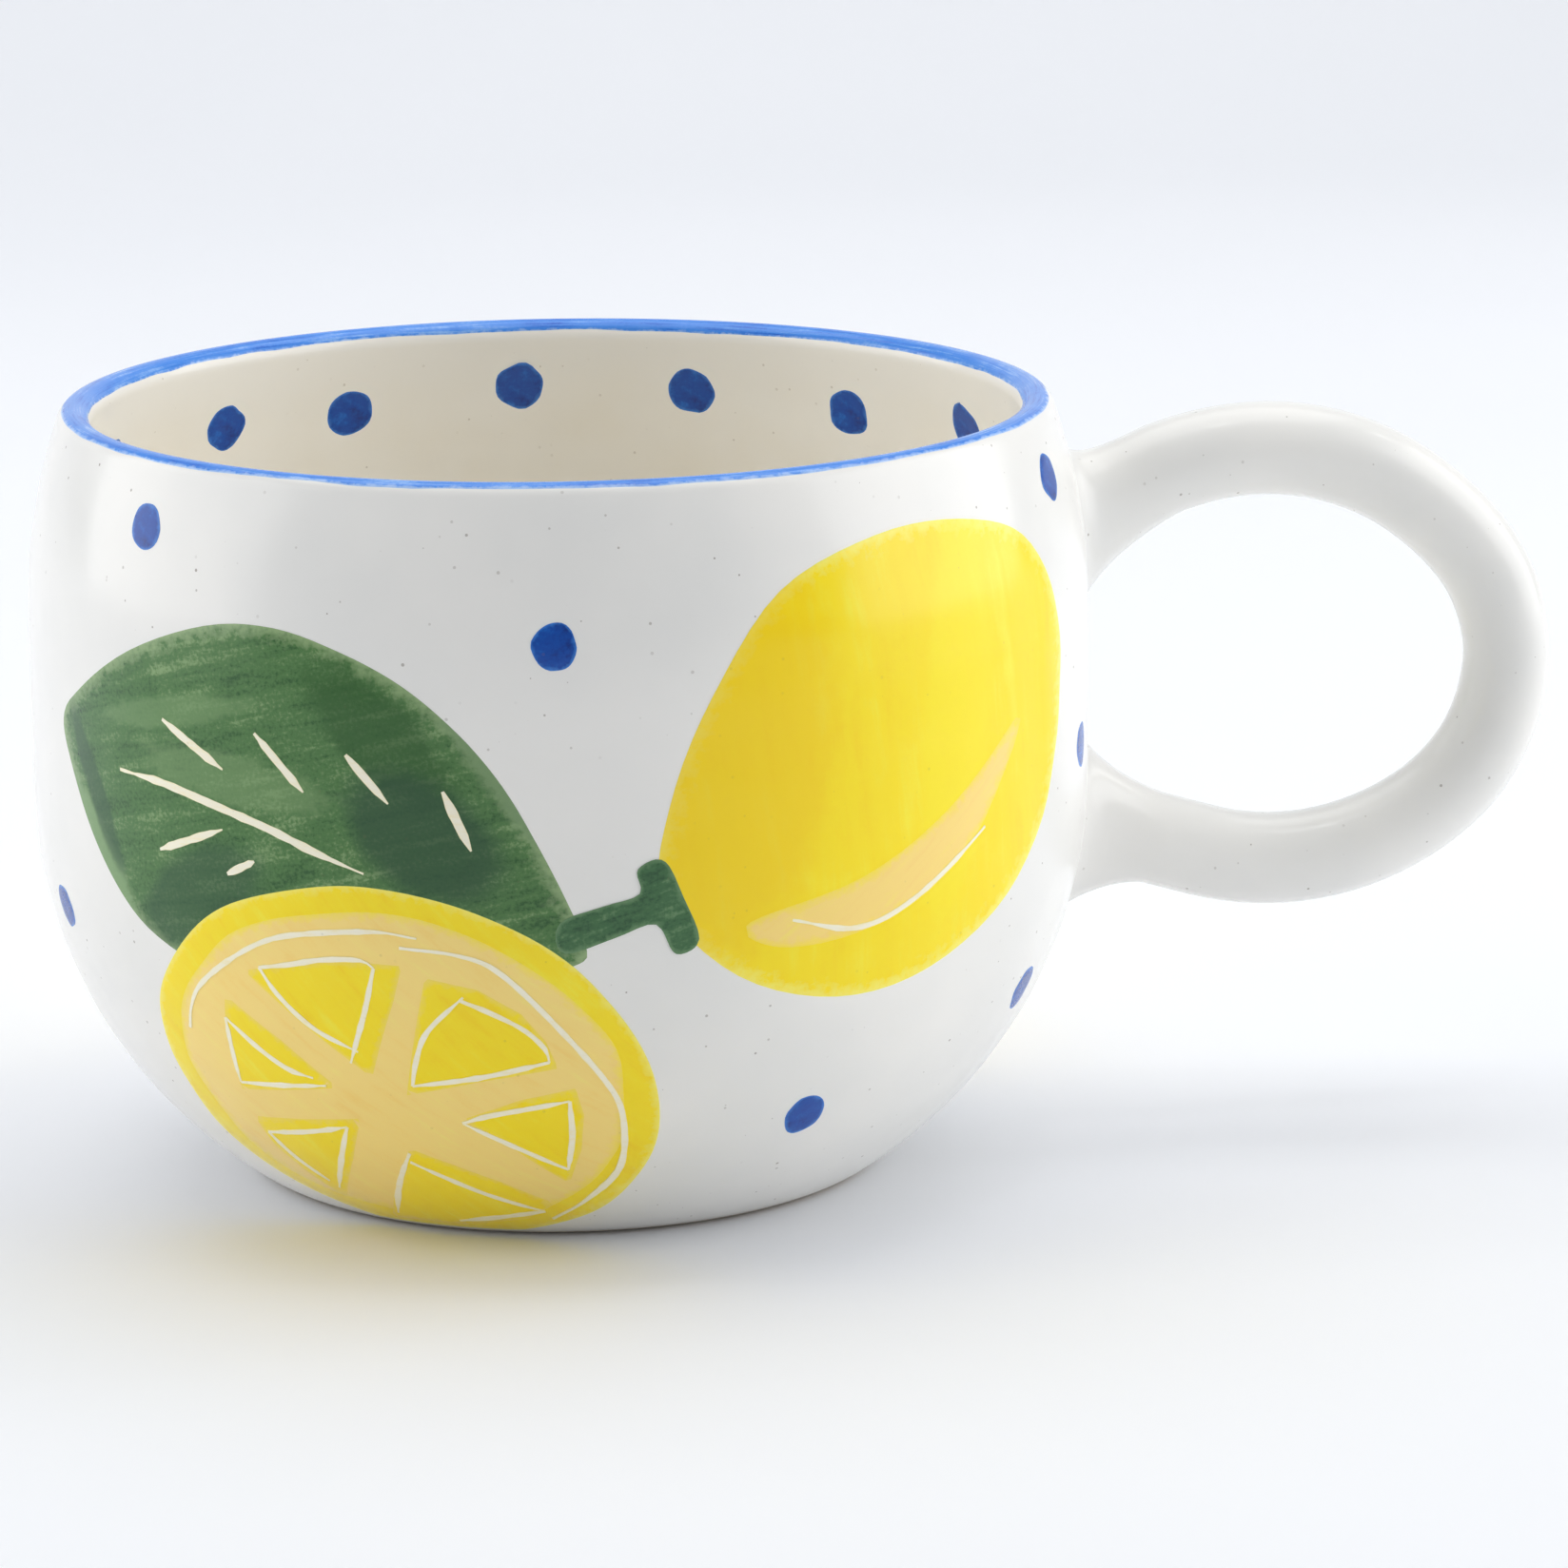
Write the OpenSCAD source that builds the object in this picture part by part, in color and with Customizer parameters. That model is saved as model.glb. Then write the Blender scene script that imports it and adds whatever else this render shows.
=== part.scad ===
// Round-bellied stoneware mug with a ring handle and a hand-painted lemon pattern.
// The origin is the centre of the base, +Z is up and the handle points along +X.

/* [Cup] */
// Height of the clay, from the table to the top of the lip
cup_height = 77; // [70:0.5:84]
// Outside width of the belly
belly_d = 105; // [99:0.5:112]
// Height where the belly ends and the shoulder starts to close in
shoulder_z = 56; // [50:0.5:60]
// Radius of the shoulder's curve, seen from the side
shoulder_r = 60; // [52:1:80]
// Radius of the bowl's curve, seen from the side
bowl_r = 46; // [44:0.5:50]
// Width of the flat foot
foot_d = 62; // [54:0.5:68]
// Thickness of the wall, which is also the width of the lip
wall_t = 3.4; // [2.8:0.1:4.6]
// Thickness of the floor
floor_t = 5; // [4:0.1:8]
// Width of the ring the cup stands on, round the hollow under the foot
foot_ring_w = 6; // [3:0.5:9]
// Depth of the hollow under the foot
hollow_h = 1.2; // [0.6:0.1:2]

/* [Handle] */
// Thickness of the round bar of the handle
bar_d = 8.8; // [7:0.1:10.5]
// How much thicker the bar gets at each of its two steps towards the cup
bar_step = 0.3; // [0.2:0.05:0.6]
// Distance from the belly to the centre of the ring
ring_reach = 20; // [18:0.5:23]
// Height of the centre of the ring
ring_z = 47.5; // [44:0.5:50]
// Length of the ring along the middle of the bar
ring_length = 50.4; // [48:0.2:60]
// Height of the ring along the middle of the bar
ring_height = 42.4; // [38:0.2:46]
// How much smaller the radius of the ring's tight arcs is than half its lesser size
ring_end_cut = 2.6; // [1.5:0.1:4]
// How far the ring leans down at its outer end, in degrees
ring_lean = 11; // [6:0.5:14]
// Slope of the bar where it leaves the shoulder, in degrees
top_slope = 22; // [16:1:28]
// Slope of the bar where it comes back to the bowl, in degrees
low_slope = 17; // [10:1:22]
// Radius of the slip worked round the top of the bar
top_slip_r = 6; // [4:0.5:7]
// Radius of the slip worked round the lower end of the bar
low_slip_r = 5; // [3:0.5:6]

/* [Glaze and paint] */
// Thickness of the cream glaze inside the cup
lining_t = 0.4; // [0.2:0.05:0.8]
// Thickness of a layer of paint
paint_t = 0.15; // [0.1:0.01:0.3]
// Height of the band of paint over the lip
band_h = 1.3; // [0.8:0.1:2.2]
// Angle round the cup of the middle of the painted front, counted from the handle
front_angle = -98; // [-110:1:-80]
// Number of painted groups round the cup
groups = 2; // [1:1:2]
// Width of the slice of lemon
slice_d = 50; // [44:0.5:52]
// How high the slice is for its width, as it lies on the curve of the bowl
slice_squash = 0.79; // [0.7:0.01:0.95]
// Width of the yellow rind round the slice
rind_w = 3; // [2:0.5:4]
// Width of the pith between the rind and the wedges
pith_w = 5; // [3:0.5:6]
// Width of a dot on the outside
dot_d = 4.3; // [3:0.1:6]
// Width of a dot inside the lip
inner_dot_d = 5.2; // [3:0.1:7]
// Number of dots inside the lip
inner_dots_n = 16; // [8:1:20]
// Distance from the top of the lip down to the middle of the dots inside it
inner_dot_drop = 8; // [6:0.5:12]

/* [Hidden] */
$fn = 180;
belly_r = belly_d / 2;
foot_r = foot_d / 2;
bar_r = bar_d / 2;
hollow_d = foot_d - 2 * foot_ring_w;
lip_r = wall_t / 2;
lip_z = cup_height - lip_r;

// The bowl's arc leaves the foot's edge and stands upright at the belly
bowl_x = belly_r - bowl_r;
bowl_z = sqrt(bowl_r ^ 2 - (foot_r - bowl_x) ^ 2);
// The shoulder's arc starts upright at the belly and ends in the round lip
shoulder_x = belly_r - shoulder_r;
lip_x = shoulder_x + sqrt((shoulder_r - lip_r) ^ 2 - (lip_z - shoulder_z) ^ 2);

// The ring is an oval of two end arcs and two side arcs, tangent to each other. The tight
// arcs are at its ends where it is longer than it is high, and otherwise at its sides
ring_x = belly_r + ring_reach;
half_l = ring_length / 2;
half_h = ring_height / 2;
lesser = min(half_l, half_h);
tight_r = lesser - ring_end_cut;
wide_r = ((max(half_l, half_h) - tight_r) ^ 2 + lesser ^ 2 - tight_r ^ 2) / (2 * ring_end_cut);
is_long = half_l > half_h;
ring_end_r = is_long ? tight_r : wide_r;
side_r = is_long ? wide_r : tight_r;
end_x = half_l - ring_end_r;
side_z = side_r - half_h;
join_angle = atan2(abs(side_z), abs(end_x));
top_angle = 90 + top_slope + ring_lean;
low_angle = -90 - low_slope + ring_lean;
stub = 24;

// Half of the cup's section at a distance `grow` outside the clay, filled to the axis
module half_section(grow) {
    intersection() {
        translate([bowl_x, bowl_z]) circle(bowl_r + grow);
        square([belly_r + grow, bowl_z]);
    }
    translate([0, bowl_z]) square([belly_r + grow, shoulder_z - bowl_z]);
    intersection() {
        translate([shoulder_x, shoulder_z]) circle(shoulder_r + grow);
        translate([0, shoulder_z]) square([belly_r + grow, lip_z - shoulder_z]);
    }
}

module filled_cup(grow) {
    rotate_extrude() half_section(grow);
}

module lip_ring(grow) {
    rotate_extrude() translate([lip_x, lip_z]) circle(lip_r + grow);
}

// The space inside the cup, `depth` further in than the clay's own wall
module cup_space(depth) {
    rotate_extrude() intersection() {
        union() {
            half_section(-wall_t - depth);
            translate([0, lip_z]) square([lip_x - lip_r - depth, 10]);
        }
        translate([0, floor_t + depth]) square([belly_r, cup_height + 20]);
    }
}

module foot_hollow() {
    translate([0, 0, -1]) cylinder(d = hollow_d, h = hollow_h + 1);
}

module cup_body() {
    color("#f2f1ea") difference() {
        union() {
            filled_cup(0);
            lip_ring(0);
        }
        cup_space(0);
        foot_hollow();
    }
}

module inside_glaze() {
    color("#e8dcc4") difference() {
        intersection() {
            cup_space(0);
            cylinder(r = belly_r, h = lip_z);
        }
        cup_space(lining_t);
    }
}

// One arc of the bar, in the ring's own upright plane
module bar_arc(centre, radius, from, to, step) {
    translate([centre.x, 0, centre.y]) rotate([90, 0, 0])
        rotate_extrude(angle = to - from, start = from)
            translate([radius, 0]) circle(bar_r + step * bar_step / 2);
}

// The straight end of the bar, running on from a side arc's end into the cup's wall
module bar_stub(centre, angle, turn) {
    translate([centre.x, 0, centre.y]) rotate([90, 0, 0]) rotate(angle)
        translate([side_r, 0, 0]) rotate([-90 * turn, 0, 0])
            cylinder(r = bar_r + bar_step, h = stub);
}

module ring_frame() {
    translate([ring_x, 0, ring_z]) rotate([0, ring_lean, 0]) children();
}

// Each length of the bar runs a little way into the next, thicker one
module bar() {
    ring_frame() {
        bar_arc([end_x, 0], ring_end_r, -join_angle - 2, join_angle + 2, 0);
        bar_arc([0, -side_z], side_r, join_angle, top_angle + 1, 1);
        bar_arc([0, side_z], side_r, low_angle - 1, -join_angle, 1);
        bar_stub([0, -side_z], top_angle, 1);
        bar_stub([0, side_z], low_angle, -1);
    }
}

module handle() {
    color("#eeede6") difference() {
        bar();
        filled_cup(0);
    }
}

// Where the middle of the bar comes out of the wall, as [radius, height]
function ring_point(x, z) = [ring_x + x * cos(ring_lean) + z * sin(ring_lean),
                             ring_z - x * sin(ring_lean) + z * cos(ring_lean)];
top_end = ring_point(side_r * cos(top_angle), side_r * sin(top_angle) - side_z);
low_end = ring_point(side_r * cos(low_angle), side_r * sin(low_angle) + side_z);
top_root_z = top_end.y - (top_end.x - belly_r) * tan(top_slope);
low_root_z = low_end.y + (low_end.x - belly_r) * tan(low_slope);

// Soft clay worked into the corner between the wall and the bar
module slip_collar(root_z, slope, radius) {
    foot = bar_r + bar_step;
    difference() {
        translate([belly_r - 1, 0, root_z]) rotate([0, 90 - slope / 2, 0])
            rotate_extrude() difference() {
                translate([0, -4]) square([foot + radius * 0.8, 4.5 + radius * 0.85]);
                translate([foot + radius, radius * 1.1]) circle(radius);
            }
        filled_cup(0);
        bar();
    }
}

module upper_luting_slip() {
    color("#f0efe8") slip_collar(top_root_z, top_slope, top_slip_r);
}

module lower_luting_slip() {
    color("#ecebe4") slip_collar(low_root_z, -low_slope, low_slip_r);
}

module rim_band() {
    color("#3f7fd6") intersection() {
        difference() {
            lip_ring(paint_t);
            lip_ring(0);
        }
        translate([0, 0, cup_height - band_h]) cylinder(r = belly_r, h = band_h + 1);
    }
}

// An outline carried out from the axis: its X runs round the cup and its Y is the height
module outward() {
    rotate([90, 0, 90]) linear_extrude(belly_d) children();
}

// A paint layer on the outside, over `coat` other layers
module painted(coat = 0) {
    intersection() {
        difference() {
            filled_cup((coat + 1) * paint_t);
            filled_cup(coat * paint_t);
        }
        outward() children();
    }
}

// The outlines were drawn for a cup of this width and height, and stretch with the cup
drawn_d = 105;
drawn_height = 77;
function on_cup(p) = [p.x * belly_d / drawn_d, p.y * cup_height / drawn_height];

// The back group faces away from the front one. Its last dot is this many degrees round from
// the handle on the cup as drawn, and keeps that distance from it on a cup of another width
handle_gap = 12.5;
back_turn = 180 + handle_gap * (drawn_d / belly_d - 1);

// Every painted group is the same
module each_group(angle) {
    for (i = [0 : groups - 1]) rotate(front_angle + angle + i * back_turn) children();
}

// A round closed curve through a few points
function curve_point(p, i, t) = let (
    n = len(p),
    a = p[(i + n - 1) % n],
    b = p[i],
    c = p[(i + 1) % n],
    d = p[(i + 2) % n]
) 0.5 * (2 * b + (c - a) * t + (2 * a - 5 * b + 4 * c - d) * t ^ 2
         + (3 * b - a - 3 * c + d) * t ^ 3);
function closed_curve(p, steps = 3) =
    [for (i = [0 : len(p) - 1], k = [0 : steps - 1]) curve_point(p, i, k / steps)];

lemon_outline = [[25.5, 51], [24.5, 60], [19, 67.3], [9, 70.4], [-2, 70.4], [-13, 66.5],
                 [-20, 57.5], [-24, 47], [-24.5, 38], [-17.5, 30.3], [-7, 26.8], [4, 27.8],
                 [15, 33], [22.5, 41]];
highlight_outline = [[-17, 35.5], [-5, 38.5], [6, 43.5], [17, 50.5], [11, 41.5], [3, 35.8],
                     [-6, 33], [-14, 32.8]];
leaf_outline = [[-29.6, 50.3], [-26.2, 53.6], [-17.5, 59], [-7.4, 62.7], [0.4, 63.3], [7.4, 61.6],
                [13.5, 58.7], [18.4, 54.5], [22.2, 49.5], [25.2, 43.5], [27.5, 37.9], [28.6, 34],
                [27.6, 32.4], [22, 31], [8, 30], [-6, 29], [-15, 31.4], [-20.8, 35.6],
                [-25.4, 41.2], [-28.3, 46]];
stem_outline = [[-5.7, 33.9], [-1, 35.4], [3.2, 36.6], [5, 33.4], [7, 34.6], [5.3, 38.6],
                [3.6, 42], [1.6, 41.2], [1.8, 38.8], [-2, 37.7], [-5.9, 36.2]];
// The top of the slice stays just under the tip of the leaf, on a slice of any width
slice_top = on_cup([0.6, 39.5]);
slice_centre = slice_top - [0, slice_squash * slice_d / 2];
pith_centre = slice_centre + [0.8, -2.9];
paint_gap = 0.3;
slice_foot = 0.8;

// A point of the slice, from its turn round the slice's middle
function slice_point(reach, turn) = slice_centre + reach * [cos(turn), slice_squash * sin(turn)];

// The slice runs off the cup just above the foot
module slice_outline(inset) {
    intersection() {
        polygon([for (turn = [0 : 5 : 355]) slice_point(slice_d / 2 - inset, turn)]);
        translate([-belly_d, slice_foot]) square([2 * belly_d, belly_d]);
    }
}

module brushed(outline) {
    polygon([for (p = closed_curve(outline)) on_cup(p)]);
}

module lemon() {
    color("#f6dd2c") each_group(38) painted() brushed(lemon_outline);
}

module lemon_highlight() {
    color("#fad98c") each_group(38) painted(1) brushed(highlight_outline);
}

module lemon_stem() {
    color("#4c7a55") each_group(6) painted(1) brushed(stem_outline);
}

// The leaf lies behind the slice, with a bare edge left between them
module leaf() {
    color("#5a8f63") difference() {
        each_group(-31) painted() brushed(leaf_outline);
        each_group(-22) outward() slice_outline(-paint_gap);
    }
}

module slice_rind() {
    color("#f3d83a") each_group(-22) painted() difference() {
        slice_outline(0);
        slice_outline(rind_w);
    }
}

// The spokes of pith between the wedges, as angles in the slice, painted by eye
spoke_angles = [4, 71, 142, 201, 250, 309];
spoke_w = 3.2;

// One wedge of the slice, as a triangle with a bowed outer side
module wedge_outline(i) {
    last = len(spoke_angles) - 1;
    from = spoke_angles[i];
    to = i == last ? spoke_angles[0] + 360 : spoke_angles[i + 1];
    middle = (from + to) / 2;
    reach = slice_d / 2 - rind_w - pith_w;
    bow = (to - from) / 2 - asin(spoke_w / 2 / reach);
    tip = pith_centre + spoke_w / 2 / sin((to - from) / 2) * [cos(middle), sin(middle)];
    polygon(concat([tip], [for (k = [-2 : 2]) slice_point(reach, middle + k * bow / 2)]));
}

module all_wedges() {
    intersection() {
        for (i = [0 : len(spoke_angles) - 1]) wedge_outline(i);
        translate([-belly_d, slice_foot + rind_w / 2]) square([2 * belly_d, belly_d]);
    }
}

module slice_pith() {
    color("#f8d592") each_group(-22) painted() difference() {
        slice_outline(rind_w);
        all_wedges();
    }
}

module slice_wedges() {
    color("#f5da35") each_group(-22) painted() all_wedges();
}

// Dots on the outside, each as [angle from the middle of the front, height]
dot_places = [[-0.5, 62.5], [-49.5, 70.7], [30, 14], [70, 71.2], [76.5, 43.5], [66.5, 20.8],
              [-69.5, 30.4]];

module outer_dots() {
    color("#2a63c4") for (place = dot_places) {
        each_group(place[0]) painted()
            translate(on_cup([0, place[1]])) circle(d = dot_d);
    }
}

// Inside, the row is nearly even: each nudge is [angle, height]
inner_nudges = [[0, 0], [0, 0], [0, 0], [0, 0], [0, 0], [0, 1.1], [0, 0.4], [0, 1.5], [0, 2],
                [0, 0], [-3, 0.5], [0, 0], [0, 0], [0, 0], [0, 0], [0, 0]];

module inner_dots() {
    color("#2b5fb8") intersection() {
        difference() {
            cup_space(lining_t);
            cup_space(lining_t + paint_t);
        }
        for (i = [0 : inner_dots_n - 1]) {
            nudge = inner_nudges[i % len(inner_nudges)];
            rotate(front_angle + 4.7 + i * 360 / inner_dots_n + nudge[0])
                translate([0, 0, cup_height - inner_dot_drop + nudge[1]]) rotate([0, 90, 0])
                    cylinder(d = inner_dot_d, h = belly_d);
        }
    }
}

cup_body();
handle();
upper_luting_slip();
lower_luting_slip();
inside_glaze();
rim_band();
inner_dots();
outer_dots();
lemon();
lemon_highlight();
lemon_stem();
leaf();
slice_rind();
slice_pith();
slice_wedges();
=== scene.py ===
import math

import bmesh
import bpy
import numpy as np
from mathutils import Matrix, Vector, noise


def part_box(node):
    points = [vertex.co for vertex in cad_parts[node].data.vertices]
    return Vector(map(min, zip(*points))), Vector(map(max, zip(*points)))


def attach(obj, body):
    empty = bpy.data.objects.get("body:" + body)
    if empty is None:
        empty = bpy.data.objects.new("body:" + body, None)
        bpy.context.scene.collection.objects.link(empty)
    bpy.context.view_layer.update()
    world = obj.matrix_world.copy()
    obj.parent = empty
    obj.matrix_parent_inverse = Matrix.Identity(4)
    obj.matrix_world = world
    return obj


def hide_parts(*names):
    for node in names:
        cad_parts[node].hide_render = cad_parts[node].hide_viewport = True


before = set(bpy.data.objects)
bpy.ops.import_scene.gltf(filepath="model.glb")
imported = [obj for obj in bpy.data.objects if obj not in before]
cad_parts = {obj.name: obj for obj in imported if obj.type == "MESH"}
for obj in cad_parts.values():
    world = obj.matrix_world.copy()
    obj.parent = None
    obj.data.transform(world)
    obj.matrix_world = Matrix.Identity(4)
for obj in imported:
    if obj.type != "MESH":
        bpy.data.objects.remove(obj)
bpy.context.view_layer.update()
print("frame loaded:", len(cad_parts), "nodes")

mm = 0.001
mergeGap = 0.002 * mm
smoothAngle = math.radians(40)
planUnit = 100.0  # millimetres of the plan to one unit of its UV map
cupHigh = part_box("cup_body")[1]

# Sizes of the cup in millimetres, the same clay as the frame's
cup = {
    "height": round(cupHigh.z / mm, 1),
    "bellyRadius": round(cupHigh.y / mm, 1),
    "shoulderZ": 56.0,
    "shoulderRadius": 60.0,
    "bowlRadius": 46.0,
    "footRadius": 31.0,
    "footRound": 1.1,
    "hollowRadius": 25.0,
    "hollowDepth": 1.2,
    "wall": 3.4,
    "floor": 5.0,
    "floorCorner": 9.0,
    "lining": 0.4,
    "liningThick": 0.6,
    "spinSteps": 240,
    "ovalness": 0.16,
    "ripple": 0.03,
}
lipRadius = cup["wall"] / 2
lipZ = cup["height"] - lipRadius
bowlX = cup["bellyRadius"] - cup["bowlRadius"]
bowlZ = math.sqrt(cup["bowlRadius"] ** 2 - (cup["footRadius"] - bowlX) ** 2)
shoulderX = cup["bellyRadius"] - cup["shoulderRadius"]
lipRise = lipZ - cup["shoulderZ"]
lipX = shoulderX + math.sqrt((cup["shoulderRadius"] - lipRadius) ** 2 - lipRise ** 2)
lipTurn = math.degrees(math.atan2(lipRise, lipX - shoulderX))

# The painted pattern: angles round the cup, counted from the handle
pattern = {
    "front": -98, "groups": (0, 180), "lemon": 38, "stem": 6, "leaf": -31, "slice": -22,
    "thickness": 0.12, "layer": 0.03, "edgeSlope": 0.5,
}
# How far each coat stands off the clay
lifts = {"paint": 0.045, "vein": 0.07, "over": 0.08, "scratch": 0.1, "pith": 0.115, "wedge": 0.15,
         "sliceScratch": 0.18}


# Working helpers

def setMode(mode):
    bpy.ops.object.mode_set(mode=mode)


def selectAll():
    bpy.ops.mesh.select_all(action="SELECT")


def clearSelection():
    bpy.ops.object.select_all(action="DESELECT")


def makeActive(piece):
    clearSelection()
    piece.select_set(True)
    bpy.context.view_layer.objects.active = piece


def joinPieces(name, pieces):
    clearSelection()
    for piece in pieces:
        piece.select_set(True)
    bpy.context.view_layer.objects.active = pieces[0]
    if len(pieces) > 1:
        bpy.ops.object.join()
    pieces[0].name = name
    pieces[0].data.name = name
    return pieces[0]


def places(piece):
    co = np.empty(len(piece.data.vertices) * 3)
    piece.data.vertices.foreach_get("co", co)
    return co.reshape(-1, 3)


def setPlaces(piece, co):
    piece.data.vertices.foreach_set("co", np.asarray(co, dtype=np.float64).ravel())
    piece.data.update()


def arcPoints(centre, radius, start, end, steps):
    turns = np.radians(np.linspace(start, end, steps + 1))
    return [(centre[0] + radius * math.cos(t), centre[1] + radius * math.sin(t)) for t in turns]


def curveSpan(a, b, c, d, steps):
    # The smooth stretch from b to c, which a and d on either side bend
    return [0.5 * (2 * b + (c - a) * t + (2 * a - 5 * b + 4 * c - d) * t ** 2
                   + (3 * b - a - 3 * c + d) * t ** 3) for t in np.arange(steps) / steps]


def closedCurve(points, steps=5):
    # A round closed line through a few points
    p = np.array(points, float)
    out = []
    for i in range(len(p)):
        out += curveSpan(p[i - 1], p[i], p[(i + 1) % len(p)], p[(i + 2) % len(p)], steps)
    return np.array(out)


def startGrid(name, columns, rows):
    clearSelection()
    bpy.ops.mesh.primitive_grid_add(x_subdivisions=columns, y_subdivisions=rows, size=1,
                                    location=(0, 0, 0))
    piece = bpy.context.object
    piece.name = name
    return piece


def openCurve(points, count):
    # An open line through a few points, with its points spread evenly along it
    p = np.array(points, float)
    p = np.vstack([2 * p[0] - p[1], p, 2 * p[-1] - p[-2]])
    fine = []
    for i in range(1, len(p) - 2):
        fine += curveSpan(p[i - 1], p[i], p[i + 1], p[i + 2], 12)
    fine = np.array(fine + [p[-2]])
    along = np.concatenate([[0], np.cumsum(np.linalg.norm(np.diff(fine, axis=0), axis=1))])
    want = np.linspace(0, along[-1], count)
    return np.column_stack([np.interp(want, along, fine[:, k]) for k in (0, 1)])


# Where the wall's face is, and how the hand-thrown clay strays from it

def wallAt(z, offset):
    if z < bowlZ:
        centre, radius = (bowlX, bowlZ), cup["bowlRadius"]
    elif z > cup["shoulderZ"]:
        centre, radius = (shoulderX, cup["shoulderZ"]), cup["shoulderRadius"]
    else:
        return cup["bellyRadius"] + offset, z
    lean = math.asin((z - centre[1]) / radius)
    return (centre[0] + (radius + offset) * math.cos(lean),
            centre[1] + (radius + offset) * math.sin(lean))


def onWall(turn, z, offset):
    r, height = wallAt(z, offset)
    return (r * math.cos(turn) * mm, r * math.sin(turn) * mm, height * mm)


def throwClay(piece):
    # Moves every point a little way in or out, the same for all that shares the wall
    co = places(piece)
    turn = np.arctan2(co[:, 1], co[:, 0])
    r = np.hypot(co[:, 0], co[:, 1]) / mm
    z = co[:, 2] / mm
    rise = np.clip(z / cup["height"], 0, 1)
    shift = cup["ovalness"] * rise * (np.sin(2 * turn + 0.7) + 0.5 * np.sin(3 * turn + 2.1))
    shift += cup["ripple"] * np.sin(z * 0.83 + 0.9 * np.sin(turn + 0.4)) * np.clip(z / 12, 0, 1)
    shift *= np.clip(r / 30, 0, 1)
    scale = 1 + shift / np.maximum(r, 1)
    co[:, 0] *= scale
    co[:, 1] *= scale
    setPlaces(piece, co)


# Node helpers

def shade(red, green, blue):
    def linear(value):
        value /= 255
        return value / 12.92 if value <= 0.04045 else ((value + 0.055) / 1.055) ** 2.4
    return (linear(red), linear(green), linear(blue), 1.0)


def nodeAdder(tree):
    def add(kind, inputs=None, **settings):
        node = tree.nodes.new("ShaderNode" + kind)
        for key, value in settings.items():
            setattr(node, key, value)
        for key, value in (inputs or {}).items():
            if isinstance(value, bpy.types.NodeSocket):
                tree.links.new(value, node.inputs[key])
            else:
                node.inputs[key].default_value = value
        return node
    return add


def mathNode(add, operation, a, b=0.0, clamp=False):
    return add("Math", {0: a, 1: b}, operation=operation, use_clamp=clamp).outputs[0]


def mixColour(add, factor, a, b, blend="MIX"):
    return add("Mix", {0: factor, 6: a, 7: b}, data_type="RGBA", blend_type=blend).outputs[2]


def ramp(add, value, low, high, start=0.0, end=1.0):
    return add("MapRange", {"Value": value, "From Min": low, "From Max": high, "To Min": start,
                            "To Max": end}, interpolation_type="SMOOTHSTEP").outputs[0]


def grainNode(add, vector, scale, detail=2.0, roughness=0.5, distortion=0.0):
    return add("TexNoise", {"Vector": vector, "Scale": scale, "Detail": detail,
                            "Roughness": roughness, "Distortion": distortion}).outputs[0]


def turnNode(add, vector, angle):
    given = {"Vector": vector, "Angle": angle}
    return add("VectorRotate", given, rotation_type="Z_AXIS").outputs[0]


def startGroup(name, inputs, outputs):
    group = bpy.data.node_groups.new(name, "ShaderNodeTree")
    for label, kind, value in inputs:
        socket = group.interface.new_socket(label, in_out="INPUT", socket_type="NodeSocket" + kind)
        if value is not None:
            socket.default_value = value
    for label, kind in outputs:
        group.interface.new_socket(label, in_out="OUTPUT", socket_type="NodeSocket" + kind)
    add = nodeAdder(group)
    given = group.nodes.new("NodeGroupInput").outputs
    return group, add, given, group.nodes.new("NodeGroupOutput")


# Shared effects

def makeGlazeSkin():
    # The clear glaze's soft waves and orange peel, and the iron specks under it
    group, add, given, out = startGroup(
        "glazeSkin",
        [("Place", "Vector", None), ("Waves", "Float", 0.05), ("Peel", "Float", 0.0012),
         ("Speckle", "Float", 0.3)],
        [("Height", "Float"), ("Roughness", "Float"), ("Specks", "Float"), ("Cloud", "Float")])
    place = add("VectorMath", {0: given["Place"], 3: 1000.0}, operation="SCALE").outputs[0]
    waves = mathNode(add, "MULTIPLY", grainNode(add, place, 0.1, 1.5), given["Waves"])
    peel = mathNode(add, "MULTIPLY", grainNode(add, place, 1.1, 2.0), given["Peel"])
    cells = add("TexVoronoi", {"Vector": place, "Scale": 0.8, "Randomness": 1.0})
    chance = add("SeparateColor", {0: cells.outputs["Color"]}).outputs
    size = ramp(add, chance[0], 0.45, 1.0, 0.0, 0.13)
    speck = mathNode(add, "LESS_THAN", cells.outputs["Distance"], size)
    strength = mathNode(add, "MULTIPLY", chance[1], given["Speckle"])
    strength = mathNode(add, "MULTIPLY", speck, strength)
    height = mathNode(add, "ADD", waves, peel)
    group.links.new(height, out.inputs["Height"])
    rough = ramp(add, grainNode(add, place, 0.12, 1.0), 0.3, 0.75, 0.2, 0.25)
    group.links.new(rough, out.inputs["Roughness"])
    group.links.new(strength, out.inputs["Specks"])
    group.links.new(ramp(add, grainNode(add, place, 0.045, 3.0), 0.3, 0.7), out.inputs["Cloud"])
    return group


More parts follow.
